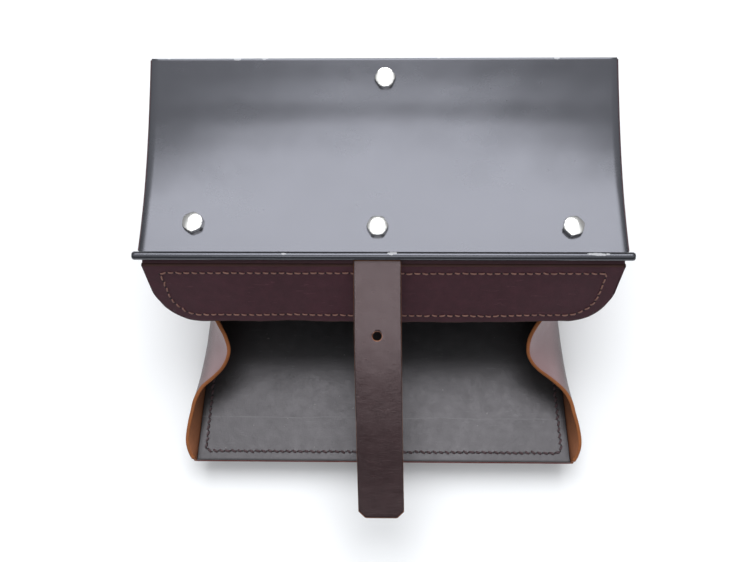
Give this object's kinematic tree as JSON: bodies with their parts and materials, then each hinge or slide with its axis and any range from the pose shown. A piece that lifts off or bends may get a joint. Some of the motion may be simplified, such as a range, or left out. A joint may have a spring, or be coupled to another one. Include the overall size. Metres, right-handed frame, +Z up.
{
  "type": "motorcycle saddlebag",
  "caption": "Small leather saddlebag with a steel lid plate, a stitched front flap, a closing strap and a buckle, shown with the front panel dropped.",
  "frame": {"origin": "middle of the footprint, on the surface the bag stands on", "axes": "+X along the bag to its right as seen from the front, +Y from the front to the back panel, +Z up"},
  "size_m": [0.266, 0.2505, 0.118],
  "materials": {
    "black_enamel": "gloss black stove enamel",
    "steel_wire": "plain steel",
    "lid_leather": "burgundy brown, smooth",
    "strap_leather": "dark brown bridle leather",
    "nickel": "bright nickel",
    "steel": "zinc plated",
    "flap_leather": "burgundy brown, smooth",
    "flap_back": "brown, matt",
    "thread": "waxed thread, tan brown",
    "body_leather": "dark brown, tan raw edges",
    "lining": "grey black, waxed",
    "thread_dark": "waxed thread, purple brown",
    "gusset_leather": "dark brown face, tan flesh side"
  },
  "bodies": {
    "shell": {"bottom_panel": "body_leather", "back_panel": "body_leather", "back_stiffener": "steel", "back_eyelets": "nickel", "lid_hinge_strip": "lid_leather", "gusset_left": "gusset_leather", "gusset_right": "gusset_leather", "front_fold": "body_leather"},
    "lid": {"lid_plate": "black_enamel", "edge_wire": "steel_wire", "lid_leather": "lid_leather", "strap_root": "strap_leather", "dome_nuts": "nickel", "lid_screws": "steel", "lid_washers": "steel", "flap_fold": "lid_leather", "strap_neck": "strap_leather"},
    "flap": {"flap_outer": "flap_leather", "flap_lining": "flap_back", "flap_stitching": "thread"},
    "strap": {"closing_strap": "strap_leather"},
    "front": {"front_outer": "body_leather", "front_lining": "lining", "front_stitching": "thread_dark", "buckle_chape": "strap_leather", "chape_rivets": "nickel", "keeper_loop": "strap_leather"},
    "buckle": {"buckle_frame": "nickel"},
    "roller": {"buckle_roller": "nickel"},
    "prong": {"buckle_prong": "nickel"}
  },
  "joints": [
    {"name": "lid_hinge", "type": "hinge", "parent": "shell", "child": "lid", "pos_m": [0, 0.1238, 0.112], "axis": [-1, 0, 0], "range_deg": [-2, 100], "deforming": ["lid_hinge_strip"]},
    {"name": "flap_fold", "type": "hinge", "parent": "lid", "child": "flap", "pos_m": [0, 0.0075, 0.1052], "axis": [-1, 0, 0], "range_deg": [-8, 6], "deforming": ["flap_fold"]},
    {"name": "strap_flex", "type": "hinge", "parent": "lid", "child": "strap", "pos_m": [0, 0.0058, 0.1055], "axis": [-1, 0, 0], "range_deg": [-8, 45], "deforming": ["strap_neck"]},
    {"name": "front_drop", "type": "hinge", "parent": "shell", "child": "front", "pos_m": [0, 0.0148, 0.0045], "axis": [-1, 0, 0], "range_deg": [0, 26], "deforming": ["gusset_left", "gusset_right", "front_fold"]},
    {"name": "buckle_swing", "type": "hinge", "parent": "front", "child": "buckle", "pos_m": [-0.0025, -0.048, 0.00568], "axis": [1, 0, 0], "range_deg": [-10, 30]},
    {"name": "prong_swing", "type": "hinge", "parent": "buckle", "child": "prong", "pos_m": [-0.0025, -0.048, 0.00568], "axis": [1, 0, 0], "range_deg": [0, 75]},
    {"name": "roller_spin", "type": "hinge", "parent": "buckle", "child": "roller", "pos_m": [-0.0025, -0.07197, 0.00465], "axis": [1, 0, 0], "continuous": true}
  ]
}
